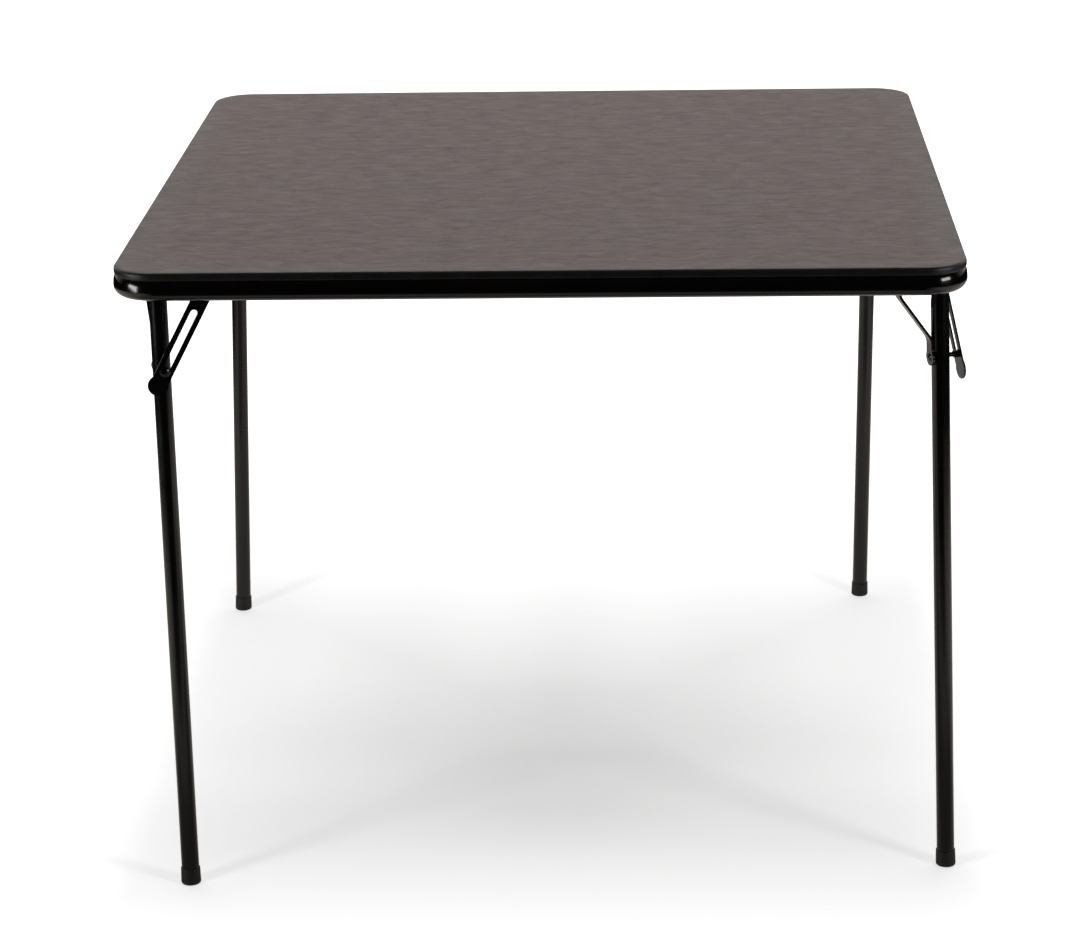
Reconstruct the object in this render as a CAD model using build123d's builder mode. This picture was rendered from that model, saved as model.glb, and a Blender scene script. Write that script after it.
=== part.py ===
from build123d import *
from math import atan2, copysign, cos, degrees, hypot, radians, sin
import os

# Folding card table: a square padded top on a rolled steel frame, with a folding leg at each corner.
# Millimetres, +Z up, front towards -Y. The origin is on the floor under the middle of the top.
# Each leg hangs on a hinge pin in a corner bracket. A bent stay props it sideways on the same pin,
# and a slotted brace outside the leg holds it open and guides it as it folds under the top.
# The front left corner is designed first, and the other three are quarter turns of it.

os.makedirs("parts", exist_ok=True)

# Whole table
table_height = 686.0
top_side = 876.0
top_corner_radius = 45.0
corner_names = ("front_left", "front_right", "back_right", "back_left")
quarter_turn = 90.0

# Padded top: hardboard, foam and a cover sheet folded under the board
board_thickness = 4.0
foam_thickness = 3.0
cover_thickness = 0.8
cover_flap_width = 20.0
cover_top_edge_radius = 3.4
cover_low_edge_radius = 2.0

# Steel frame: one rolled strip with a ledge, a bulging face and a turned-up lip
frame_overhang = 1.2
frame_height = 22.2
frame_sheet = 1.0
ledge_width = 24.0
face_upper_depth = 3.4
face_upper_height = 11.9
face_lower_depth = 10.1
lip_radius = 2.0
lip_rise = 3.0

# Leg: steel tube, pressed flat on its inner side where the hinge pin crosses it
tube_diameter = 19.0
tube_wall = 1.2
leg_end_share = 1.02
leg_inset_along = 46.3
leg_inset_across = 27.1
leg_turn = 19.0
leg_splay = 1.89
leg_over_open = 0.34
press_depth = 6.0
press_start = 33.0
press_end = 9.0

# Foot cap: moulded rubber cup, a little wider at the floor than at its mouth
cap_mouth_wall = 0.9
cap_low_wall = 1.5
cap_height = 18.3
cap_sole = 3.0
cap_sole_radius = 2.4
cap_mouth_radius = 0.7

# Hinge pin and corner bracket
hinge_radius = 3.0
hinge_head_radius = 5.0
hinge_head_height = 1.8
bracket_sheet = 1.5
plate_border = 9.0
ear_radius = 8.0

# Rivets that hold the bracket under the frame's ledge
rail_rivet_radius = 2.4
rail_rivet_head_radius = 4.0
rail_rivet_head_height = 1.6
rail_rivet_inset = 15.0
rail_rivet_near = 59.5
rail_rivet_far = 113.0
rail_rivet_side = 66.0

# Stay: a bent strap from the tube's inner side up to the hinge pin, with a round end on each pin.
# Between the pins the strap stands a little towards the fold.
stay_width = 12.6
stay_shift = 1.2
stay_foot_radius = 8.7
stay_tab_radius = 8.0
stay_neck_blend = 4.0
stay_sheet = 2.8
stay_reach = 46.0
stay_foot_top = 66.0
stay_tab_low = 15.0
stay_bend_radius = 16.0

# Slotted brace and its pivot rivet
brace_pivot_reach = 48.0
brace_plane_out = 19.4
brace_sheet = 2.0
brace_width = 18.4
slot_width = 7.6
slot_top = 30.4
finger_reach = 15.9
finger_radius = 10.9
finger_blend = 5.0
brace_rivet_radius = 3.0

# Lock pin through the leg, and the guide rivet on its end that rides in the slot
lock_drop = 85.3
lock_radius = 2.5
lock_collar_radius = 3.9
lock_collar_length = 3.6
lock_head_radius = 4.6
lock_head_height = 1.8
guide_radius = 3.5
guide_head_radius = 5.6
guide_head_height = 2.0

# Screws that hold the top to the frame
screw_spacing_share = 0.2854
screw_count = 3
screw_radius = 1.8
screw_bite = 3.2
screw_head_radius = 4.0
screw_head_height = 2.2
screw_inset = 14.0

# Clearances
pin_clearance = 0.05
running_gap = 0.3
fold_room = 0.7
overrun = 5.0

# Levels and radii that follow from the sizes above
top_thickness = cover_thickness + foam_thickness + board_thickness + cover_thickness
ledge_level = table_height - top_thickness
ledge_underside = ledge_level - frame_sheet
frame_bottom = ledge_level - frame_height
board_bottom = ledge_level + cover_thickness
foam_bottom = board_bottom + board_thickness
half_top = top_side / 2
screw_spacing = top_side * screw_spacing_share
half_frame = half_top + frame_overhang
frame_corner_radius = top_corner_radius + frame_overhang
tube_radius = tube_diameter / 2
plate_level = ledge_underside - bracket_sheet
hinge_level = plate_level - fold_room - tube_radius
hinge_ear_inner = tube_radius + running_gap
hinge_ear_outer = hinge_ear_inner + bracket_sheet
stay_ear_inner = stay_reach + stay_sheet / 2 + running_gap
stay_ear_outer = stay_ear_inner + bracket_sheet
brace_inner_face = brace_plane_out - brace_sheet / 2
brace_outer_face = brace_plane_out + brace_sheet / 2
brace_ear_outer = brace_inner_face - running_gap
brace_ear_inner = brace_ear_outer - bracket_sheet
leg_length = hinge_level / cos(radians(leg_splay)) / cos(radians(leg_over_open))
tube_length = leg_length - cap_sole


def turned(plane, angle):
    """The plane turned about its own z axis."""
    x_dir = plane.x_dir * cos(radians(angle)) + plane.y_dir * sin(radians(angle))
    return Plane(origin=plane.origin, x_dir=x_dir, z_dir=plane.z_dir)


def moved(plane, along, up):
    """The plane moved within itself."""
    return Plane(origin=plane.from_local_coords((along, up, 0)), x_dir=plane.x_dir, z_dir=plane.z_dir)


def across(plane, drop):
    """Plane square to the leg, this far down it, facing the foot."""
    return Plane(origin=plane.from_local_coords((0, -drop, 0)), x_dir=plane.x_dir, z_dir=-plane.y_dir)


def lengthwise(plane):
    """Plane through the leg and its hinge pin: x is outboard and y is up the leg."""
    return Plane(origin=plane.origin, x_dir=plane.z_dir, z_dir=-plane.x_dir)


# Hinge of the front left leg: x is the way the leg folds, y is up, z is outboard along the pin
fold_way = Vector(cos(radians(leg_turn)), sin(radians(leg_turn)), 0)
outboard = Vector(sin(radians(leg_turn)), -cos(radians(leg_turn)), 0)
hinge = Plane(
    origin=(-half_top + leg_inset_along, -half_top + leg_inset_across, hinge_level),
    x_dir=fold_way,
    z_dir=outboard * cos(radians(leg_splay)) + Vector(0, 0, sin(radians(leg_splay))),
)

# The open leg leans a little past square, and the brace runs from its pivot down to the lock pin
leg_plane = turned(hinge, -leg_over_open)
lock_behind = lock_drop * sin(radians(leg_over_open))
lock_below = lock_drop * cos(radians(leg_over_open))
brace_length = hypot(brace_pivot_reach + lock_behind, lock_below)
brace_angle = degrees(atan2(brace_pivot_reach + lock_behind, lock_below))
brace_pivot = moved(hinge, brace_pivot_reach, 0)
brace_plane = turned(brace_pivot, -brace_angle)
guide_place = moved(brace_plane, 0, -brace_length)
lock_place = moved(leg_plane, 0, -lock_drop)


def quarter_turns(x, y):
    """The four places that one place takes as it goes round the table."""
    return [(x, y), (-y, x), (-x, -y), (y, -x)]


# Where the screws and the bracket rivets go through the frame's ledge
screw_places = []
for number in range(screw_count):
    screw_along = (number - (screw_count - 1) / 2) * screw_spacing
    screw_places += quarter_turns(screw_along, -half_frame + screw_inset)
corner_rivet_places = [
    (-half_frame + rail_rivet_near, -half_frame + rail_rivet_inset),
    (-half_frame + rail_rivet_far, -half_frame + rail_rivet_inset),
    (-half_frame + rail_rivet_inset, -half_frame + rail_rivet_side),
]
rivet_places = []
for x, y in corner_rivet_places:
    rivet_places += quarter_turns(x, y)


def save(part, name):
    """Names a finished piece and writes it out."""
    part.label = name
    export_step(part, f"parts/{name}.step")


def save_corners(part, name):
    """Writes a corner piece four times, a quarter turn apart."""
    for number, corner in enumerate(corner_names):
        save(Rot(0, 0, quarter_turn * number) * part, f"{corner}_{name}")


def rounded_square(half_side, corner_radius):
    """Outline shared by the layers of the top."""
    RectangleRounded(2 * half_side, 2 * half_side, corner_radius)


def bore(plane, radius, start, end):
    """Clearance hole along the plane's z axis through the part being built."""
    with Locations(plane.offset(start)):
        Cylinder(
            radius + pin_clearance,
            end - start,
            align=(Align.CENTER, Align.CENTER, Align.MIN),
            mode=Mode.SUBTRACT,
        )


def rivet(plane, start, end, radius, head_radius, head_height, end_head=False):
    """Shank along the plane's z axis with a domed head past its start, and past its end if asked."""
    crown = copysign(head_height, end - start)
    side = Plane(origin=plane.origin, x_dir=plane.x_dir, z_dir=-plane.y_dir)
    with BuildPart() as pin:
        with BuildSketch(side):
            with BuildLine():
                TangentArc((0, start - crown), (head_radius, start), tangent=(1, 0))
                Polyline((head_radius, start), (radius, start), (radius, end))
                if end_head:
                    Line((radius, end), (head_radius, end))
                    TangentArc((0, end + crown), (head_radius, end), tangent=(1, 0))
                    Line((0, end + crown), (0, start - crown))
                else:
                    Polyline((radius, end), (0, end), (0, start - crown))
            make_face()
        revolve(axis=Axis(plane.origin, plane.z_dir))
    return pin.part


# Hardboard panel: flat board with a softened low edge, drilled for the screws
with BuildPart() as panel_board:
    with BuildSketch(Plane.XY.offset(board_bottom)):
        rounded_square(half_top - cover_thickness, top_corner_radius - cover_thickness)
    extrude(amount=board_thickness)
    fillet(panel_board.faces().sort_by(Axis.Z)[0].edges(), cover_low_edge_radius - cover_thickness)
    with BuildSketch(Plane.XY.offset(board_bottom)):
        with Locations(*screw_places):
            Circle(screw_radius + pin_clearance)
    extrude(amount=screw_bite, mode=Mode.SUBTRACT)
save(panel_board.part, "panel_board")


# Foam pad: thin sheet glued on the board, rounded over at its top edge
with BuildPart() as foam_pad:
    with BuildSketch(Plane.XY.offset(foam_bottom)):
        rounded_square(half_top - cover_thickness, top_corner_radius - cover_thickness)
    extrude(amount=foam_thickness)
    fillet(foam_pad.faces().sort_by(Axis.Z)[-1].edges(), cover_top_edge_radius - cover_thickness)
save(foam_pad.part, "foam_pad")


# Vinyl cover: skin over the top and the sides, folded under the board as a flap all round
with BuildPart() as vinyl_cover:
    with BuildSketch(Plane.XY.offset(ledge_level)):
        rounded_square(half_top, top_corner_radius)
    extrude(amount=top_thickness)
    fillet(vinyl_cover.faces().sort_by(Axis.Z)[-1].edges(), cover_top_edge_radius)
    fillet(vinyl_cover.faces().sort_by(Axis.Z)[0].edges(), cover_low_edge_radius)
    add(panel_board.part, mode=Mode.SUBTRACT)
    add(foam_pad.part, mode=Mode.SUBTRACT)
    with BuildSketch(Plane.XY.offset(ledge_level)):
        rounded_square(half_top - cover_flap_width, top_corner_radius - cover_flap_width)
    extrude(amount=cover_thickness, mode=Mode.SUBTRACT)
    with BuildSketch(Plane.XY.offset(ledge_level)):
        with Locations(*screw_places):
            Circle(screw_radius + pin_clearance)
    extrude(amount=cover_thickness + screw_bite, mode=Mode.SUBTRACT)
save(vinyl_cover.part, "vinyl_cover")


def frame_skin(inset):
    """One skin of the frame's strip, seen along the rail; the inset is its depth below the outside."""
    face_low = frame_height - face_upper_height
    ledge_skin = frame_height - inset
    lip_skin = face_lower_depth + lip_radius - inset
    Line((ledge_width, ledge_skin), (face_upper_depth, ledge_skin))
    EllipticalCenterArc(
        (face_upper_depth, face_low),
        face_upper_depth - inset,
        face_upper_height - inset,
        start_angle=quarter_turn,
        arc_size=quarter_turn,
    )
    EllipticalCenterArc(
        (face_lower_depth, face_low),
        face_lower_depth - inset,
        face_low - inset,
        start_angle=2 * quarter_turn,
        arc_size=quarter_turn,
    )
    CenterArc((face_lower_depth, lip_radius), lip_radius - inset, -quarter_turn, quarter_turn)
    Line((lip_skin, lip_radius), (lip_skin, lip_radius + lip_rise))


# Steel frame: a strip rolled to one section, bent round the corners and welded into a ring
straight_length = 2 * (half_frame - frame_corner_radius)
rail_end = Plane(
    origin=(-straight_length / 2, -half_frame, frame_bottom),
    x_dir=(0, 1, 0),
    z_dir=(1, 0, 0),
)
with BuildPart() as frame_quarter:
    with BuildSketch(rail_end) as frame_section:
        with BuildLine():
            frame_skin(0)
            frame_skin(frame_sheet)
            Line((ledge_width, frame_height), (ledge_width, frame_height - frame_sheet))
            lip_outside = face_lower_depth + lip_radius
            Line((lip_outside, lip_radius + lip_rise), (lip_outside - frame_sheet, lip_radius + lip_rise))
        make_face()
    extrude(amount=straight_length)
    corner_axis = Axis((-straight_length / 2, -straight_length / 2, 0), (0, 0, -1))
    revolve(frame_section.sketch, axis=corner_axis, revolution_arc=quarter_turn)
with BuildPart() as steel_frame:
    with PolarLocations(0, len(corner_names)):
        add(frame_quarter.part)
    with BuildSketch(Plane.XY.offset(ledge_underside)):
        with Locations(*screw_places):
            Circle(screw_radius + pin_clearance)
        with Locations(*rivet_places):
            Circle(rail_rivet_radius + pin_clearance)
    extrude(amount=frame_sheet, mode=Mode.SUBTRACT)
save(steel_frame.part, "steel_frame")


# Frame screws: round-headed screws up through the ledge into the board
frame_screw = rivet(
    Plane.XY,
    ledge_underside,
    board_bottom + screw_bite,
    screw_radius,
    screw_head_radius,
    screw_head_height,
)
with BuildPart() as frame_screws:
    with Locations(*screw_places):
        add(frame_screw)
save(frame_screws.part, "frame_screws")


# Bracket rivets: three in each corner, flush with the top of the ledge
bracket_rivet = rivet(
    Plane.XY,
    plate_level,
    ledge_level,
    rail_rivet_radius,
    rail_rivet_head_radius,
    rail_rivet_head_height,
)
with BuildPart() as bracket_rivets:
    with Locations(*rivet_places):
        add(bracket_rivet)
save(bracket_rivets.part, "bracket_rivets")


# Corner bracket: a plate under the ledge with three ears, two for the hinge pin and one for the brace
ear_roots = [
    hinge.from_local_coords((0, 0, hinge_ear_inner)),
    hinge.from_local_coords((0, 0, -stay_ear_inner)),
    brace_pivot.from_local_coords((0, 0, brace_ear_inner)),
]
ear_rise = ledge_level - hinge_level + overrun
with BuildPart() as bracket:
    with BuildSketch(Plane.XY.offset(plate_level)):
        with Locations(*corner_rivet_places, *[(root.X, root.Y) for root in ear_roots]):
            Circle(plate_border)
        make_hull()
    extrude(amount=bracket_sheet)
    for ear_plane, ear_start in (
        (hinge, hinge_ear_inner),
        (hinge, -stay_ear_outer),
        (brace_pivot, brace_ear_inner),
    ):
        with BuildSketch(ear_plane.offset(ear_start)):
            Circle(ear_radius)
            with Locations((0, ear_rise / 2)):
                Rectangle(2 * ear_radius, ear_rise)
        extrude(amount=bracket_sheet)
    with Locations((0, 0, ledge_underside)):
        Box(
            top_side,
            top_side,
            top_side,
            align=(Align.CENTER, Align.CENTER, Align.MIN),
            mode=Mode.SUBTRACT,
        )
    bore(hinge, hinge_radius, -stay_ear_outer - overrun, hinge_ear_outer + overrun)
    bore(brace_pivot, brace_rivet_radius, brace_ear_inner - overrun, brace_ear_outer + overrun)
    with BuildSketch(Plane.XY.offset(plate_level)):
        with Locations(*corner_rivet_places):
            Circle(rail_rivet_radius + pin_clearance)
    extrude(amount=bracket_sheet, mode=Mode.SUBTRACT)
save_corners(bracket.part, "bracket")


# Hinge pin: a long rivet through both hinge ears, the leg and the top of the stay
hinge_pin = rivet(
    hinge,
    -stay_ear_outer,
    hinge_ear_outer,
    hinge_radius,
    hinge_head_radius,
    hinge_head_height,
    end_head=True,
)
save_corners(hinge_pin, "hinge_pin")


def tube_form(inset):
    """Round bar with its inner side pressed flat near the top, drawn in all round by the inset."""
    side_face = inset - tube_radius
    flat_face = side_face + press_depth
    with BuildPart() as form:
        with BuildSketch(across(leg_plane, -tube_diameter)):
            Circle(tube_radius - inset)
        extrude(amount=tube_diameter + tube_length + overrun)
        with BuildSketch(lengthwise(leg_plane)):
            with BuildLine():
                Polyline(
                    (side_face, -press_start),
                    (flat_face, -press_end),
                    (flat_face, 2 * tube_diameter),
                    (-tube_diameter, 2 * tube_diameter),
                    (-tube_diameter, -press_start),
                    close=True,
                )
            make_face()
        extrude(amount=tube_diameter, both=True, mode=Mode.SUBTRACT)
    return form.part


# Leg: steel tube with a rounded upper end, a flat for the stay and holes for the two pins
tube_outside = tube_form(0)
tube_inside = tube_form(tube_wall)
with BuildPart() as leg:
    add(tube_outside)
    add(tube_inside, mode=Mode.SUBTRACT)
    with BuildSketch(leg_plane):
        Circle(tube_radius * leg_end_share)
        with Locations((0, -tube_length / 2)):
            Rectangle(2 * tube_diameter, tube_length)
    extrude(amount=tube_diameter, both=True, mode=Mode.INTERSECT)
    bore(leg_plane, hinge_radius, -tube_diameter, tube_diameter)
    bore(lock_place, lock_radius, -tube_diameter, tube_diameter)
save_corners(leg.part, "leg")


# Foot cap: rubber cup pushed on the tube, cut level with the floor
cap_bore = tube_radius + pin_clearance
cap_mouth = cap_height - leg_length
cap_low_end = -leg_length - overrun
with BuildPart() as foot_cap:
    with BuildSketch(lengthwise(leg_plane)):
        with BuildLine():
            FilletPolyline(
                (0, cap_low_end),
                (tube_radius + cap_low_wall, cap_low_end),
                (tube_radius + cap_mouth_wall, cap_mouth),
                (cap_bore, cap_mouth),
                radius=cap_mouth_radius,
            )
            Polyline((cap_bore, cap_mouth), (cap_bore, -tube_length), (0, -tube_length), (0, cap_low_end))
        make_face()
    revolve(axis=Axis(leg_plane.origin, leg_plane.y_dir))
    with Locations((0, 0, 0)):
        Box(
            2 * top_side,
            2 * top_side,
            table_height,
            align=(Align.CENTER, Align.CENTER, Align.MAX),
            mode=Mode.SUBTRACT,
        )
    fillet(foot_cap.faces().sort_by(Axis.Z)[0].edges(), cap_sole_radius)
save_corners(foot_cap.part, "foot_cap")


# Stay: strap with a rounded end on the lock pin, bent inwards and up to its tab on the hinge pin
stay_foot_face = tube_radius + stay_sheet / 2
with BuildPart() as stay:
    with BuildSketch(lengthwise(leg_plane)):
        with BuildLine():
            FilletPolyline(
                (-stay_foot_face, -lock_drop - stay_foot_radius),
                (-stay_foot_face, -stay_foot_top),
                (-stay_reach, -stay_tab_low),
                (-stay_reach, stay_tab_radius),
                radius=stay_bend_radius,
            )
        trace(line_width=stay_sheet)
    extrude(amount=stay_foot_radius, both=True)
    with BuildSketch(leg_plane) as stay_outline:
        Circle(stay_tab_radius)
        with Locations((0, -lock_drop)):
            Circle(stay_foot_radius)
        with Locations((stay_shift, -lock_drop / 2)):
            Rectangle(stay_width, lock_drop)
        fillet(stay_outline.vertices(), stay_neck_blend)
    extrude(amount=stay_reach + overrun, both=True, mode=Mode.INTERSECT)
    bore(leg_plane, hinge_radius, -stay_ear_inner, 0)
    bore(lock_place, lock_radius, -stay_ear_inner, 0)
save_corners(stay.part, "stay")


# Lock pin: through the stay's foot and the leg, headed inside, with a collar next to the brace
lock_shank = rivet(
    lock_place,
    -tube_radius - stay_sheet,
    brace_ear_outer,
    lock_radius,
    lock_head_radius,
    lock_head_height,
)
with BuildPart() as lock_pin:
    add(lock_shank)
    with BuildSketch(lock_place.offset(brace_ear_outer)):
        Circle(lock_collar_radius)
    extrude(amount=-lock_collar_length)
save_corners(lock_pin.part, "lock_pin")


# Slotted brace: strap with a long slot for the guide rivet and a round finger tab at its low end
with BuildPart() as brace:
    with BuildSketch(brace_plane.offset(brace_inner_face)) as strap:
        with Locations((0, 0), (0, -brace_length)):
            Circle(brace_width / 2)
        make_hull()
        with Locations((0, -brace_length - finger_reach)):
            Circle(finger_radius)
        with Locations((0, -brace_length - finger_reach / 2)):
            Rectangle(brace_width, finger_reach)
        necks = strap.vertices().group_by(Axis.Y)
        fillet(necks[0], finger_blend)
        with Locations((0, -(slot_top + brace_length) / 2)):
            SlotCenterToCenter(brace_length - slot_top, slot_width, rotation=quarter_turn, mode=Mode.SUBTRACT)
    extrude(amount=brace_sheet)
    bore(brace_pivot, brace_rivet_radius, brace_inner_face - overrun, brace_outer_face + overrun)
save_corners(brace.part, "brace")


# Guide rivet: stands in the slot on the end of the lock pin, with a domed head outside the strap
guide_rivet = rivet(
    guide_place,
    brace_outer_face + running_gap,
    brace_inner_face,
    guide_radius,
    guide_head_radius,
    guide_head_height,
)
save_corners(guide_rivet, "guide_rivet")


# Brace rivet: holds the upper end of the brace to its ear and lets it swing
brace_rivet = rivet(
    brace_pivot,
    brace_ear_inner,
    brace_outer_face + running_gap,
    brace_rivet_radius,
    hinge_head_radius,
    hinge_head_height,
    end_head=True,
)
save_corners(brace_rivet, "brace_rivet")
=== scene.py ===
import math

import bpy
import numpy as np
from mathutils import Matrix, Quaternion, Vector


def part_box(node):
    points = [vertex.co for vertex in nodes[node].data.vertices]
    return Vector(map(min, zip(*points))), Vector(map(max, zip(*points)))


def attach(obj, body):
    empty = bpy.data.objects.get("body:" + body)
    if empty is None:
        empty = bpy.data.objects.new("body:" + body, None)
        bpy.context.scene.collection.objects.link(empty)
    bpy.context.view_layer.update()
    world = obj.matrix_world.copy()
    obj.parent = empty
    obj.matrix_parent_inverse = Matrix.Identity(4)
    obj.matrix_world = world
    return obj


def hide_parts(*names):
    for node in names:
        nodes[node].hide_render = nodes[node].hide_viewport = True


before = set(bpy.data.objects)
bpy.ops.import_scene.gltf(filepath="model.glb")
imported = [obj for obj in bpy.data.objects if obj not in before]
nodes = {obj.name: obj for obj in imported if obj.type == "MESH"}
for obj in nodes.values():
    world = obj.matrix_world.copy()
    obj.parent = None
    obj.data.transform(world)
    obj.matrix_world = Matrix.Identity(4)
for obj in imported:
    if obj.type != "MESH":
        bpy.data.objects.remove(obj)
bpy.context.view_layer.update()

corners = ("front_left", "front_right", "back_right", "back_left")

# A folding card table: padded vinyl top, rolled steel frame, four folding tube legs.
# Metres, with the floor at z = 0 and the front towards -Y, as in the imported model.


# Steel frame
# A strip rolled to a bulging section, bent round the corners, welded into a ring and sprayed with black
# enamel. The enamel is glossy, with the faint orange peel of sprayed paint and a little settled dust.

def feed(tree, socket, value):
    """Links another node's output to a socket, or sets the socket to a plain value."""
    if isinstance(value, bpy.types.NodeSocket):
        tree.links.new(value, socket)
    else:
        socket.default_value = value


def add(tree, kind, sockets=None, **settings):
    """Adds a shader node with its settings, and feeds its sockets by name or number."""
    made = tree.nodes.new("ShaderNode" + kind)
    for name, value in settings.items():
        setattr(made, name, value)
    for name, value in (sockets or {}).items():
        feed(tree, made.inputs[name], value)
    return made


def place_on(tree):
    """The place on the piece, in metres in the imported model."""
    return add(tree, "TexCoord").outputs["Object"]


def stretched(tree, place, scale, turn=(0.0, 0.0, 0.0)):
    """The place turned, and squeezed along each axis, so that a pattern on it is drawn out."""
    return add(tree, "Mapping", {"Vector": place, "Rotation": turn, "Scale": scale}).outputs[0]


def axes(tree, vector):
    """The outputs X, Y and Z of a vector."""
    return add(tree, "SeparateXYZ", {0: vector}).outputs


def noise(tree, place, scale, detail=2.0, roughness=0.5, distortion=0.0):
    """Soft noise between 0 and 1, with scale grains to the metre."""
    return add(tree, "TexNoise", {
        "Vector": place, "Scale": scale, "Detail": detail, "Roughness": roughness, "Distortion": distortion,
    }).outputs["Fac"]


def ramp(tree, value, start, end, low=0.0, high=1.0):
    """A straight ramp of a value: low up to start, high from end on."""
    return add(tree, "MapRange", {
        "Value": value, "From Min": start, "From Max": end, "To Min": low, "To Max": high,
    }).outputs["Result"]


def calc(tree, operation, *numbers):
    """ADD, MULTIPLY or MAXIMUM of two numbers, or MULTIPLY_ADD: the first times the second plus the third."""
    return add(tree, "Math", dict(enumerate(numbers)), operation=operation).outputs[0]


mix_first, mix_second, mix_result = 6, 7, 2


def mix(tree, share, first, second):
    """Mixes two colours, each an output or red, green and blue. Share 0 is the first, 1 the second.

    A Mix node's colour sockets are taken by number, because their names repeat.
    """
    sockets = {"Factor": share}
    for number, colour in ((mix_first, first), (mix_second, second)):
        sockets[number] = colour if isinstance(colour, bpy.types.NodeSocket) else (*colour, 1)
    return add(tree, "Mix", sockets, data_type="RGBA").outputs[mix_result]


def new_group(name, inputs, outputs):
    """Starts a node group with named number inputs and named outputs, and returns it with its two ends."""
    tree = bpy.data.node_groups.new(name, "ShaderNodeTree")
    for label, value in inputs.items():
        socket = tree.interface.new_socket(name=label, in_out="INPUT", socket_type="NodeSocketFloat")
        socket.default_value = value
    for label, kind in outputs.items():
        tree.interface.new_socket(name=label, in_out="OUTPUT", socket_type="NodeSocket" + kind)
    return tree, tree.nodes.new("NodeGroupInput"), tree.nodes.new("NodeGroupOutput")


def new_material(name):
    """Starts a material and returns it with its node tree and its Principled shader."""
    material = bpy.data.materials.new(name)
    material.use_nodes = True
    tree = material.node_tree
    return material, tree, tree.nodes["Principled BSDF"]


def surface(tree, shader, colour, roughness, height, depth, strength=1.0):
    """Feeds a Principled shader its colour and roughness, and its height through a bump of that depth."""
    bump = add(tree, "Bump", {"Height": height, "Strength": strength, "Distance": depth})
    feed(tree, shader.inputs["Base Color"], colour)
    feed(tree, shader.inputs["Roughness"], roughness)
    feed(tree, shader.inputs["Normal"], bump.outputs[0])


def enamel_group():
    """Sprayed enamel on steel: colour, roughness and height from peel, smears, scratches and dust.

    Peel is fine noise in the height. Smears are soft noise in the roughness. Scratches are noise
    drawn out fifteen to one and kept where it is high. Dust is speckled noise, thicker on faces that
    look up.
    """
    tree, inside, outside = new_group(
        "enamel",
        {"Gloss Roughness": 0.1, "Dust": 0.2, "Scratches": 0.3, "Peel Scale": 420.0},
        {"Color": "Color", "Roughness": "Float", "Height": "Float"},
    )
    place = place_on(tree)
    peel = noise(tree, place, inside.outputs["Peel Scale"])
    smear = noise(tree, place, scale=14.0, detail=4.0, roughness=0.62)
    drawn_out = noise(tree, stretched(tree, place, scale=(900.0, 900.0, 60.0)), scale=1.0, detail=3.0)
    scratches = calc(tree, "MULTIPLY", ramp(tree, drawn_out, 0.66, 0.78), inside.outputs["Scratches"])

    normal = add(tree, "NewGeometry").outputs["Normal"]
    looks_up = ramp(tree, axes(tree, normal)["Z"], 0.2, 1.0)
    speckle = ramp(tree, noise(tree, place, scale=1500.0), 0.55, 0.75)
    lying = calc(tree, "MULTIPLY", looks_up, noise(tree, place, scale=30.0, detail=3.0))
    settled = calc(tree, "MULTIPLY", lying, speckle)
    dust = calc(tree, "MULTIPLY", settled, inside.outputs["Dust"])

    black = mix(tree, ramp(tree, smear, 0.3, 0.7), (0.0016, 0.0015, 0.0015), (0.0034, 0.0031, 0.003))
    smeared = ramp(tree, smear, 0.35, 0.75, low=-0.02, high=0.09)
    clean = calc(tree, "ADD", inside.outputs["Gloss Roughness"], smeared)
    scratched = calc(tree, "MULTIPLY_ADD", scratches, 0.25, clean)
    feed(tree, outside.inputs["Color"], mix(tree, dust, black, (0.16, 0.15, 0.135)))
    feed(tree, outside.inputs["Roughness"], calc(tree, "MULTIPLY_ADD", dust, 0.6, scratched))
    feed(tree, outside.inputs["Height"], calc(tree, "MULTIPLY_ADD", scratches, -0.6, peel))
    return tree


enamel = enamel_group()


def enamel_material(name, roughness, dust, scratches, peel_scale, peel_depth):
    """Black enamel with its own gloss, dust and peel, on a Principled shader of its own."""
    material, tree, shader = new_material(name)
    skin = tree.nodes.new("ShaderNodeGroup")
    skin.node_tree = enamel
    skin.inputs["Gloss Roughness"].default_value = roughness
    skin.inputs["Dust"].default_value = dust
    skin.inputs["Scratches"].default_value = scratches
    skin.inputs["Peel Scale"].default_value = peel_scale
    coat = skin.outputs
    surface(tree, shader, coat["Color"], coat["Roughness"], coat["Height"], peel_depth)
    return material


def finish_node(name, material):
    """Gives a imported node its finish."""
    nodes[name].data.materials.clear()
    nodes[name].data.materials.append(material)


frame_enamel = enamel_material(
    "frame_enamel", roughness=0.1, dust=0.5, scratches=0.15, peel_scale=380.0, peel_depth=0.000012)
finish_node("steel_frame", frame_enamel)


# Corner brackets, hinge pins and rivets
# Pressed steel brackets riveted under the frame's ledge, in the same enamel but scuffed by the folding
# legs. The pins and rivets were painted with them.

bracket_enamel = enamel_material(
    "bracket_enamel", roughness=0.2, dust=0.35, scratches=0.7, peel_scale=520.0, peel_depth=0.000015)
finish_node("bracket_rivets", bracket_enamel)
for corner in corners:
    for piece in ("bracket", "hinge_pin", "brace_rivet"):
        finish_node(f"{corner}_{piece}", bracket_enamel)


# Legs, stays, braces and lock pins
# Round steel tube legs, pressed flat where the hinge pin crosses, with bent stays and slotted braces of
# steel strap. All are in enamel a little less glossy than the frame's, rubbed where they slide.

leg_enamel = enamel_material(
    "leg_enamel", roughness=0.18, dust=0.25, scratches=0.45, peel_scale=460.0, peel_depth=0.00001)
for corner in corners:
    for piece in ("leg", "stay", "brace", "lock_pin", "guide_rivet"):
        finish_node(f"{corner}_{piece}", leg_enamel)


# Foot caps
# Black rubber cups pushed on the tube ends, matt, with moulding flow in their sides and a grey bloom of
# floor dust low down.

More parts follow.
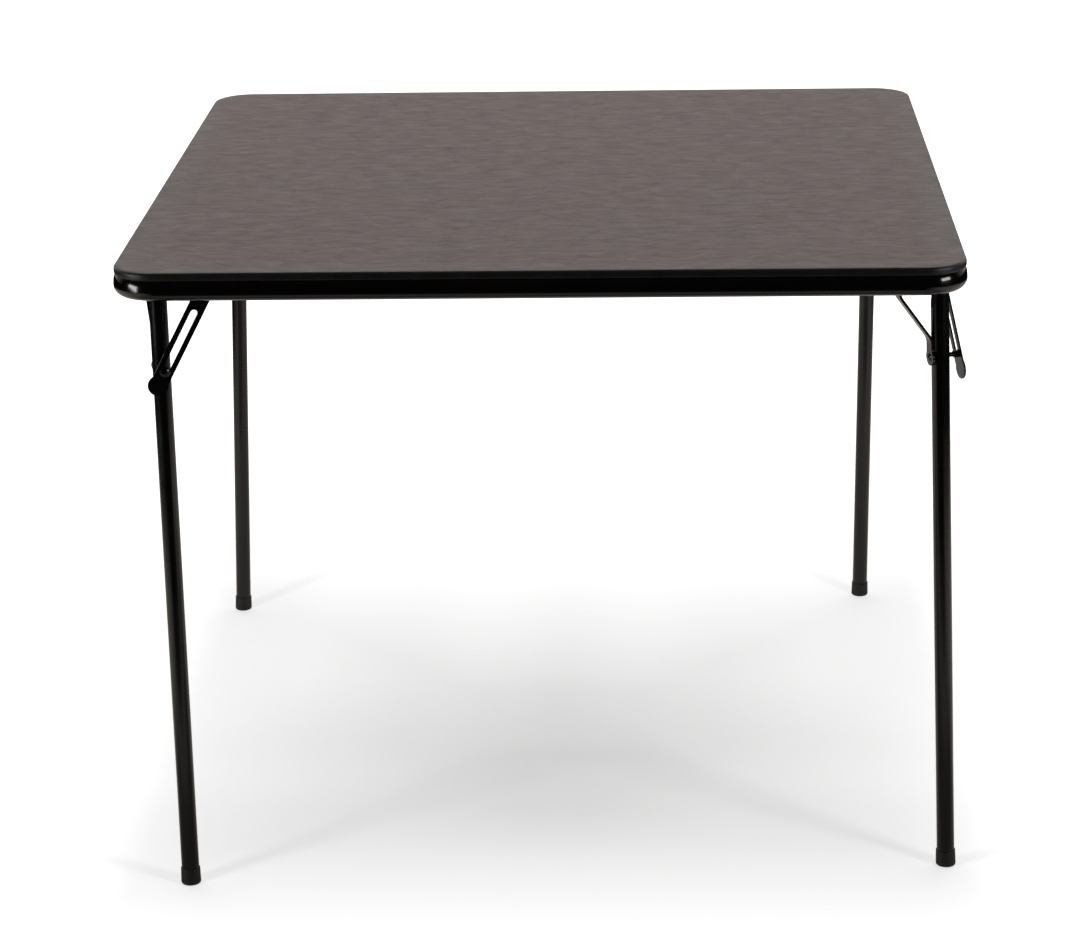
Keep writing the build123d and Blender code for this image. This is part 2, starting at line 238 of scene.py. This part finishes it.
def rubber_material():
    """Matt rubber: noise mottles the black, and a ramp of height above the floor brings in the dust."""
    material, tree, shader = new_material("cap_rubber")
    place = place_on(tree)
    dust_line = 0.006
    low_down = ramp(tree, axes(tree, place)["Z"], dust_line, 0.0)
    mottle = noise(tree, place, scale=240.0, detail=4.0, roughness=0.6)
    grain = noise(tree, place, scale=2600.0)
    colour = mix(tree, calc(tree, "MULTIPLY", low_down, mottle), (0.009, 0.009, 0.0088), (0.075, 0.07, 0.062))
    roughness = ramp(tree, mottle, 0.0, 1.0, low=0.42, high=0.72)
    height = calc(tree, "MULTIPLY_ADD", mottle, 2.0, grain)
    surface(tree, shader, colour, roughness, height, depth=0.00006, strength=0.6)
    return material


cap_rubber = rubber_material()
for corner in corners:
    finish_node(f"{corner}_foot_cap", cap_rubber)


# Hardboard panel
# A sheet of brown hardboard under the pad, held to the frame by its screws and seen only from below. Its
# rough face keeps the print of the wire screen that it was pressed on, over matted wood fibre.

def hardboard_material():
    """Hardboard: fibre noise in two browns, and the screen's print as crossed waves in the height."""
    material, tree, shader = new_material("hardboard")
    place = place_on(tree)
    matted = stretched(tree, place, scale=(1.0, 2.4, 1.0), turn=(0.0, 0.0, 0.5))
    fibre = noise(tree, matted, scale=260.0, detail=6.0, roughness=0.7, distortion=1.2)
    cloud = noise(tree, place, scale=9.0, detail=3.0)
    across = add(tree, "TexWave", {"Vector": place, "Scale": 180.0}, bands_direction="X")
    along = add(tree, "TexWave", {"Vector": place, "Scale": 180.0}, bands_direction="Y")
    screen = calc(tree, "MULTIPLY", across.outputs["Fac"], along.outputs["Fac"])
    tone = ramp(tree, calc(tree, "MULTIPLY_ADD", cloud, 0.5, fibre), 0.5, 1.0)
    colour = mix(tree, tone, (0.085, 0.048, 0.026), (0.21, 0.125, 0.07))
    height = calc(tree, "MULTIPLY_ADD", screen, 0.7, fibre)
    surface(tree, shader, colour, 0.82, height, depth=0.00025, strength=0.8)
    return material


finish_node("panel_board", hardboard_material())


# Foam pad
# A thin sheet of cream foam glued on the board under the cover. It is wholly enclosed, and rounds over
# at its top edge.

def outline(half_side, radius, corner_steps, side_steps):
    """Points of a rounded square, going round once from the middle of the front side.

    Each corner is a quarter circle about its own centre, and the sides between are straight.
    """
    turn = np.linspace(0.0, math.pi / 2, corner_steps + 1)
    straight = half_side - radius
    arc = np.stack([straight + radius * np.sin(turn), -straight - radius * np.cos(turn)], 1)
    near = np.linspace(0.0, straight, side_steps, endpoint=False)
    half_front = np.stack([near, np.full(side_steps, -half_side)], 1)
    far = np.linspace(-straight, 0.0, side_steps + 1)[1:-1]
    half_right = np.stack([np.full(side_steps - 1, half_side), far], 1)
    quarter = np.concatenate([half_front, arc, half_right])
    laps = [quarter]
    for _ in range(3):
        quarter = np.stack([-quarter[:, 1], quarter[:, 0]], 1)
        laps.append(quarter)
    return np.concatenate(laps)


def square_shell(name, half_side, radius, insets, levels, corner_steps, side_steps):
    """A closed skin: one outline for each inset and level of the profile, joined ring to ring.

    Within half the corner radius an outline is a parallel inset. Further in it keeps its shape and
    shrinks to the middle, where the first and the last ring close in a fan about one point each.
    """
    parallel = radius / 2
    rings = []
    for inset, level in zip(insets, levels):
        side = half_side - inset
        if inset <= parallel:
            bend = radius - inset
        else:
            bend = (radius - parallel) * side / (half_side - parallel)
        flat = outline(side, bend, corner_steps, side_steps)
        rings.append(np.column_stack([flat, np.full(len(flat), level)]))
    count = len(rings[0])
    ends = np.array([[0.0, 0.0, levels[0]], [0.0, 0.0, levels[-1]]])
    points = np.concatenate(rings + [ends])
    here = np.arange(count)
    ahead = np.roll(here, -1)
    row = (np.arange(len(rings) - 1) * count)[:, None]
    quads = np.stack([row + here, row + count + here, row + count + ahead, row + ahead], -1).reshape(-1, 4)
    last = (len(rings) - 1) * count
    first_fan = np.stack([np.full(count, len(points) - 2), here, ahead], 1)
    last_fan = np.stack([np.full(count, len(points) - 1), last + ahead, last + here], 1)
    mesh = bpy.data.meshes.new(name)
    mesh.from_pydata(points, [], quads.tolist() + first_fan.tolist() + last_fan.tolist())
    mesh.polygons.foreach_set("use_smooth", np.ones(len(mesh.polygons), bool))
    mesh.update()
    made = bpy.data.objects.new(name, mesh)
    bpy.context.scene.collection.objects.link(made)
    return made


def quarter_round(inset, level, radius, rising, inward, steps=6):
    """Insets and levels along a quarter circle about a centre, from the side to the flat or back."""
    turn = np.linspace(0.0, math.pi / 2, steps)
    if inward:
        turn = turn[::-1]
    return inset - radius * np.cos(turn), level + rising * radius * np.sin(turn)


foam_low, foam_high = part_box("foam_pad")
foam_clearance = 0.0001
foam_half = foam_high.x - foam_clearance
foam_top = foam_high.z - foam_clearance
foam_bottom = foam_low.z + foam_clearance
foam_round = 0.0026
foam_corner = 0.0441
foam_rings = 14
foam_first_ring = 0.99 * foam_half
foam_last_ring = 0.02 * foam_half
foam_middle = np.linspace(foam_first_ring, foam_last_ring, foam_rings)
round_in, round_level = quarter_round(foam_round, foam_top - foam_round, foam_round, rising=1, inward=True)
foam_insets = np.concatenate([foam_middle, round_in, [0.0], foam_middle[::-1]])
foam_levels = np.concatenate([
    np.full(foam_rings, foam_top), round_level, [foam_bottom], np.full(foam_rings, foam_bottom),
])
foam = square_shell("foam", foam_half, foam_corner, foam_insets, foam_levels, corner_steps=14, side_steps=30)


def foam_material():
    """Open foam: fine cells, paler at their walls and raised there."""
    material, tree, shader = new_material("foam")
    cells = add(tree, "TexVoronoi", {"Vector": place_on(tree), "Scale": 1400.0}).outputs["Distance"]
    colour = mix(tree, cells, (0.62, 0.56, 0.4), (0.78, 0.73, 0.58))
    surface(tree, shader, colour, 0.95, cells, depth=0.0003)
    return material


foam.data.materials.append(foam_material())
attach(foam, "table_top")
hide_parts("foam_pad")


# Vinyl cover
# Black sheet vinyl embossed with a crinkled leather grain, pulled over the foam and round the edge, and
# folded under the board as a flap that the frame's ledge holds. Stretched flat on top, with hardly any
# swell between the edges.

vinyl_low, vinyl_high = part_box("vinyl_cover")
vinyl_half = vinyl_high.x
vinyl_top = vinyl_high.z
vinyl_bottom = vinyl_low.z
vinyl_corner = 0.045
vinyl_sheet = 0.0008
vinyl_top_round = 0.0034
vinyl_low_round = 0.002
vinyl_flap = 0.02
vinyl_sheen_start = vinyl_half - 0.04
vinyl_sheen_full = vinyl_half - 0.012
vinyl_shade_start = vinyl_half - 0.004
vinyl_shade_full = vinyl_half - 0.0015
vinyl_rings = 40
vinyl_first_ring = 0.995 * vinyl_half
vinyl_last_ring = 1.2 * vinyl_top_round
vinyl_middle = np.linspace(vinyl_first_ring, 0.0, vinyl_rings, endpoint=False)
vinyl_middle = vinyl_middle[vinyl_middle > vinyl_last_ring]
top_centre = vinyl_top - vinyl_top_round
low_centre = vinyl_bottom + vinyl_low_round
top_in, top_level = quarter_round(
    vinyl_top_round, top_centre, vinyl_top_round, rising=1, inward=True, steps=9)
low_in, low_level = quarter_round(
    vinyl_low_round, low_centre, vinyl_low_round, rising=-1, inward=False, steps=7)
skin_low_in, skin_low_level = quarter_round(
    vinyl_low_round, low_centre, vinyl_low_round - vinyl_sheet, rising=-1, inward=True, steps=5)
skin_top_in, skin_top_level = quarter_round(
    vinyl_top_round, top_centre, vinyl_top_round - vinyl_sheet, rising=1, inward=False, steps=6)
vinyl_insets = np.concatenate([
    vinyl_middle, top_in, low_in, [vinyl_flap, vinyl_flap],
    skin_low_in, skin_top_in, vinyl_middle[::-1],
])
vinyl_levels = np.concatenate([
    np.full(len(vinyl_middle), vinyl_top), top_level, low_level, [vinyl_bottom, vinyl_bottom + vinyl_sheet],
    skin_low_level, skin_top_level, np.full(len(vinyl_middle), vinyl_top - vinyl_sheet),
])
vinyl = square_shell(
    "vinyl_top", vinyl_half, vinyl_corner, vinyl_insets, vinyl_levels, corner_steps=16, side_steps=40)


def vinyl_material():
    """Crumpled leather grain: fine cells, creases from the edges of warped cells, and slow mottling.

    The ridges are lower in calm patches a hand or so wide. A band round the edge, where the sheet is
    stretched over the foam, is painted a little paler and greener, as a painted sheen, and the side below it
    is painted darker than the top, as painted shade.
    """
    material, tree, shader = new_material("vinyl")
    place = place_on(tree)
    warp = add(tree, "TexNoise", {"Vector": place, "Scale": 42.0, "Detail": 4.0, "Roughness": 0.6})
    shift = add(tree, "VectorMath", {0: warp.outputs["Color"], 1: (0.5, 0.5, 0.5)}, operation="SUBTRACT")
    warped = add(
        tree, "VectorMath",
        {0: shift.outputs[0], 1: (0.03, 0.03, 0.0), 2: place}, operation="MULTIPLY_ADD",
    ).outputs[0]
    crease_place = stretched(tree, warped, scale=(26.0, 52.0, 40.0))
    crease_cells = add(tree, "TexVoronoi", {"Vector": crease_place, "Scale": 1.0}, feature="DISTANCE_TO_EDGE")
    crease = ramp(tree, crease_cells.outputs["Distance"], 0.0, 0.14)
    ridge_place = stretched(tree, warped, scale=(36.0, 80.0, 60.0))
    ridge = noise(tree, ridge_place, scale=1.0, detail=4.0, roughness=0.55)
    patch = ramp(tree, noise(tree, place, scale=13.0), 0.4, 0.6, low=0.4)
    cells = add(tree, "TexVoronoi", {"Vector": place, "Scale": 950.0}, feature="DISTANCE_TO_EDGE")
    cell = ramp(tree, cells.outputs["Distance"], 0.0, 0.25)
    deep = calc(tree, "MULTIPLY_ADD", crease, 0.3, calc(tree, "MULTIPLY", ridge, patch))
    height = calc(tree, "MULTIPLY_ADD", cell, 0.05, deep)

    tone = ramp(tree, noise(tree, place, scale=9.0, detail=3.0, roughness=0.55), 0.4, 0.64)
    off_middle = axes(tree, add(tree, "VectorMath", {0: place}, operation="ABSOLUTE").outputs[0])
    farthest = calc(tree, "MAXIMUM", off_middle["X"], off_middle["Y"])
    # Painted sheen: a band round the edge of the top is given a paler, greener colour.
    painted_sheen_band = ramp(tree, farthest, vinyl_sheen_start, vinyl_sheen_full)
    # Painted shade: the upright side of the cover is given a darker colour than the top.
    side = ramp(tree, farthest, vinyl_shade_start, vinyl_shade_full)
    mottled = mix(tree, tone, (0.026, 0.018, 0.0165), (0.018, 0.018, 0.015))
    # Painted shade: the creases are given a darker colour, as if shade lay in them.
    painted_crease_shade = mix(tree, crease, (0.008, 0.0072, 0.007), mottled)
    # The painted sheen, and then the painted shade on the side, are mixed into the colour.
    paler = mix(tree, painted_sheen_band, painted_crease_shade, (0.021, 0.029, 0.025))
    colour = mix(tree, side, paler, (0.0085, 0.008, 0.0072))
    roughness = ramp(tree, ridge, 0.3, 0.7, low=0.36, high=0.46)
    surface(tree, shader, colour, roughness, height, depth=0.0008, strength=0.5)
    return material


vinyl.data.materials.append(vinyl_material())
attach(vinyl, "table_top")
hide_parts("vinyl_cover")


# Frame screws
# Round-headed steel screws, plated with zinc. They are driven up through the frame's ledge, and their
# shanks hold in the board.

def zinc_material():
    """Zinc plate: fine noise in two greys, and rougher where it is paler."""
    material, tree, shader = new_material("screw_steel")
    spangle = noise(tree, place_on(tree), scale=900.0, detail=4.0)
    feed(tree, shader.inputs["Base Color"], mix(tree, spangle, (0.42, 0.41, 0.38), (0.62, 0.61, 0.58)))
    feed(tree, shader.inputs["Roughness"], ramp(tree, spangle, 0.0, 1.0, low=0.2, high=0.45))
    shader.inputs["Metallic"].default_value = 1.0
    return material


finish_node("frame_screws", zinc_material())


# Floor and room
# A white floor and a white wall at the back, with a dark room in front, so that the enamel that faces the
# lens stays black. The enamel mirrors the floor as dark boards with white paper round the table. The camera
# sees the floor white, with a glow of its own that thins the lamps' shadows and paints the rest of the
# shadow's shape under the table.

floor_half = 30
floor_corners = [(-floor_half, -floor_half, 0), (floor_half, -floor_half, 0),
                 (floor_half, floor_half, 0), (-floor_half, floor_half, 0)]


def paper_share(tree, aside, along, reach):
    """How far the floor is white paper to the enamel's gloss: 0 on the dark boards and up to 1.

    Aside is the distance from the middle to either side, along runs from front to back, and reach is the
    distance from the middle any way. The paper is a product of soft edges in front, under the table's
    front and all round, with a brighter band before the front feet and a flank at each side.
    """
    under = ramp(tree, along, -0.45, -0.25, low=0.25)
    middle = calc(tree, "MULTIPLY", under, ramp(tree, along, -1.35, -0.9))
    band_end = ramp(tree, along, -0.65, -0.85, high=0.35)
    banded = calc(tree, "MULTIPLY_ADD", ramp(tree, along, -1.1, -0.9), band_end, middle)
    flank = calc(tree, "MULTIPLY", ramp(tree, aside, 0.6, 1.05), ramp(tree, along, -1.7, -1.3))
    near = calc(tree, "MAXIMUM", banded, flank)
    whole = calc(tree, "MULTIPLY", near, ramp(tree, reach, 2.0, 1.6))
    return calc(tree, "MULTIPLY", whole, ramp(tree, along, -0.2, 0.1, low=1.0, high=0.85))


# Painted shadow: the camera's floor glow is shaped after the table's shadow.
def painted_shadow_glow(tree, aside, along, outwards, reach):
    """The glow that thins the shadows on the floor, a sum of six soft steps.

    It grows to the back, outwards from the middle in a square, outside the legs, and far off all round, so
    that the camera sees a painted shadow in the table's footprint. A narrow core under the middle is painted
    darker in front and lighter behind. Beside the back feet it dips, as painted shade.
    """
    core = calc(tree, "MULTIPLY", ramp(tree, aside, 0.2, 0.04), ramp(tree, along, -0.38, -0.26))
    painted_core_shade_and_light = ramp(tree, along, -0.17, -0.05, low=-0.06, high=0.045)
    painted_back_feet_shade = ramp(tree, aside, 0.32, 0.46)
    steps = (
        ramp(tree, outwards, 0.1, 0.55, high=0.27),
        ramp(tree, aside, 0.45, 0.52, high=0.12),
        ramp(tree, reach, 0.8, 1.8, high=0.5),
        calc(tree, "MULTIPLY", core, painted_core_shade_and_light),
        calc(tree, "MULTIPLY", painted_back_feet_shade, ramp(tree, along, 0.0, 0.15, high=-0.07)),
    )
    glow = ramp(tree, along, -0.25, 0.15, low=0.395, high=0.52)
    for step in steps:
        glow = calc(tree, "ADD", glow, step)
    return glow


def floor_material():
    """Matt paint: plain white with the shadow's glow to the camera, and boards and paper to all else."""
    material, tree, shader = new_material("floor_paint")
    ray = add(tree, "LightPath").outputs
    place = place_on(tree)
    along = axes(tree, place)["Y"]
    from_middle = axes(tree, add(tree, "VectorMath", {0: place}, operation="ABSOLUTE").outputs[0])
    aside = from_middle["X"]
    outwards = calc(tree, "MAXIMUM", aside, from_middle["Y"])
    reach = add(tree, "VectorMath", {0: place}, operation="LENGTH").outputs["Value"]

    paper = paper_share(tree, aside, along, reach)
    boards_and_paper = mix(tree, paper, (0.03, 0.03, 0.03), (0.8, 0.73, 0.67))
    colour = mix(tree, ray["Is Camera Ray"], boards_and_paper, (0.8, 0.8, 0.8))
    glow = painted_shadow_glow(tree, aside, along, outwards, reach)
    # Painted shadow: the camera sees the floor's glow, which is shaped after the table's shadow.
    seen_glow = calc(tree, "MULTIPLY", glow, ray["Is Camera Ray"])
    paper_glow = calc(tree, "MULTIPLY", paper, ray["Is Glossy Ray"])
    feed(tree, shader.inputs["Base Color"], colour)
    feed(tree, shader.inputs["Emission Color"], mix(tree, ray["Is Camera Ray"], (1, 0.91, 0.84), (1, 1, 1)))
    feed(tree, shader.inputs["Emission Strength"], calc(tree, "MULTIPLY_ADD", paper_glow, 0.4, seen_glow))
    shader.inputs["Roughness"].default_value = 1.0
    shader.inputs["Specular IOR Level"].default_value = 0.0
    return material


floor_mesh = bpy.data.meshes.new("floor")
floor_mesh.from_pydata(floor_corners, [], [(0, 1, 2, 3)])
floor_mesh.materials.append(floor_material())
floor = bpy.data.objects.new("floor", floor_mesh)
bpy.context.scene.collection.objects.link(floor)


def studio_world():
    """The room: white to the camera, and else bright behind the table and dark in front of it.

    The strength is a ramp of how far a direction points to the back. In gloss the light is warmer.
    """
    world = bpy.data.worlds.new("studio")
    world.use_nodes = True
    tree = world.node_tree
    ray = add(tree, "LightPath").outputs
    direction = add(tree, "TexCoord").outputs["Generated"]
    behind = ramp(tree, axes(tree, direction)["Y"], 0.1, 0.8, low=0.012, high=0.95)
    background = tree.nodes["Background"]
    feed(tree, background.inputs["Color"], mix(tree, ray["Is Glossy Ray"], (1, 1, 1), (1.0, 0.84, 0.81)))
    feed(tree, background.inputs["Strength"], calc(tree, "MAXIMUM", behind, ray["Is Camera Ray"]))
    return world


bpy.context.scene.world = studio_world()


def soft_box(name, place, aim, width, height, power, glint=False, roll=0.0):
    """A rectangular lamp at a place, turned to face a point and rolled about its own middle.

    A glint lamp is seen only in gloss, and any other lamp only lights.
    """
    lamp = bpy.data.lights.new(name, "AREA")
    lamp.shape = "RECTANGLE"
    lamp.size = width
    lamp.size_y = height
    lamp.energy = power
    holder = bpy.data.objects.new(name, lamp)
    bpy.context.scene.collection.objects.link(holder)
    holder.location = place
    facing = (Vector(aim) - Vector(place)).to_track_quat("-Z", "Y")
    holder.rotation_euler = (facing @ Quaternion((0, 0, 1), math.radians(roll))).to_euler()
    holder.visible_glossy = glint
    holder.visible_diffuse = not glint


# Low at each side, a strip that draws the glints on the frame's corners.
strip_aim = (0, 0, 0.6)
soft_box("left_strip", (-2.6, -1.7, 0.7), strip_aim, width=1.1, height=0.5, power=22, glint=True, roll=-14)
soft_box("right_strip", (2.6, -1.75, 1.05), strip_aim, width=1.1, height=0.6, power=22, glint=True)

# High in front, two small lamps that throw the legs' faint shadows inwards, and a large one overhead.
lamp_aim = (0, 0, 0.3)
soft_box("left_lamp", (-1.75, -1.57, 2.9), lamp_aim, width=0.4, height=0.4, power=15)
soft_box("right_lamp", (1.75, -1.57, 2.9), lamp_aim, width=0.4, height=0.4, power=15)
soft_box("overhead_box", (0.04, -0.2, 2.9), (0.04, -0.2, 0), width=1.2, height=1.2, power=16.5)


# Camera
# A long lens in front of the table, a little to the right of its middle, looking slightly down. Its place
# and its angles are fitted to the corners of the top and to the four feet.

camera_place = Vector((0.1278, -3.5436, 1.528))
yaw, pitch, roll = (math.radians(angle) for angle in (-2.36, 18.79, 1.06))
forward = Vector((math.sin(yaw) * math.cos(pitch), math.cos(yaw) * math.cos(pitch), -math.sin(pitch)))
level = Vector((math.cos(yaw), -math.sin(yaw), 0))
below = forward.cross(level)
right = level * math.cos(roll) + below * math.sin(roll)
down = below * math.cos(roll) - level * math.sin(roll)
lens = bpy.data.cameras.new("camera")
lens.lens = 105.8
lens.sensor_width = 36
lens.sensor_fit = "HORIZONTAL"
lens.clip_end = 100
camera = bpy.data.objects.new("camera", lens)
bpy.context.scene.collection.objects.link(camera)
facing = Matrix((right, -down, -forward)).transposed()
camera.matrix_world = Matrix.Translation(camera_place) @ facing.to_4x4()
bpy.context.scene.camera = camera
bpy.context.scene.view_settings.view_transform = "Standard"
